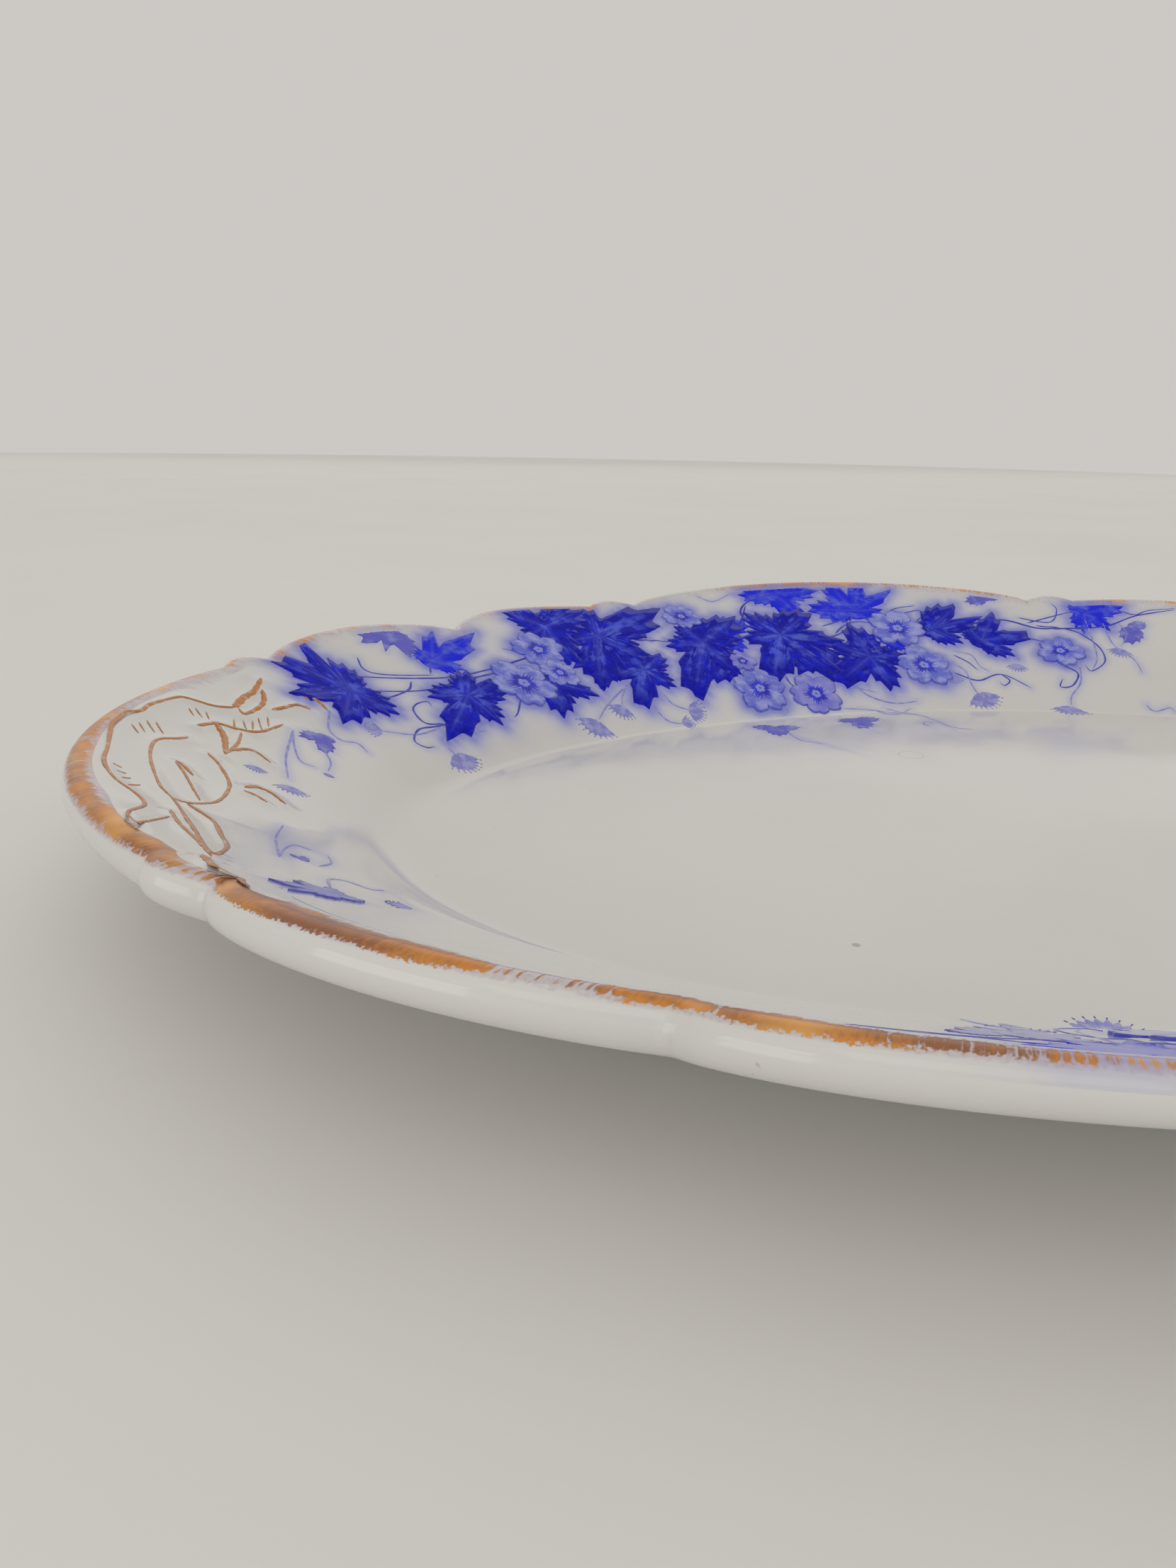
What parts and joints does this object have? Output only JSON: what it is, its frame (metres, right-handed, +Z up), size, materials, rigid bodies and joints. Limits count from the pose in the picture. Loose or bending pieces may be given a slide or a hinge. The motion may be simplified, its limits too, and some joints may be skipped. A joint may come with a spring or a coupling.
{
  "type": "serving platter",
  "caption": "Oval china serving platter with a scalloped, gilded lip, sloping border with moulded end cartouches, flat well and oval foot ring.",
  "frame": {"origin": "centre of the platter's oval on the plane the foot ring stands on", "axes": "+X along the length toward the right end, +Y across the width toward the back, +Z up"},
  "size_m": [0.4018, 0.3132, 0.0362],
  "materials": {
    "glazed_china": "clear gloss glaze over warm grey-white china, cobalt blue transfer print",
    "foot_china": "gloss glaze, rubbed matt on the standing edge",
    "relief_china": "gloss glaze over moulded relief",
    "gilding": "thin worn gilding, brown-gold"
  },
  "bodies": {
    "root": {"platter_body": "glazed_china", "foot_ring": "foot_china", "end_relief_left": "relief_china", "end_relief_right": "relief_china", "flange_scroll_far_left": "relief_china", "flange_scroll_far_right": "relief_china", "flange_scroll_near_left": "relief_china", "flange_scroll_near_right": "relief_china", "lip_gilding": "gilding"}
  },
  "joints": []
}
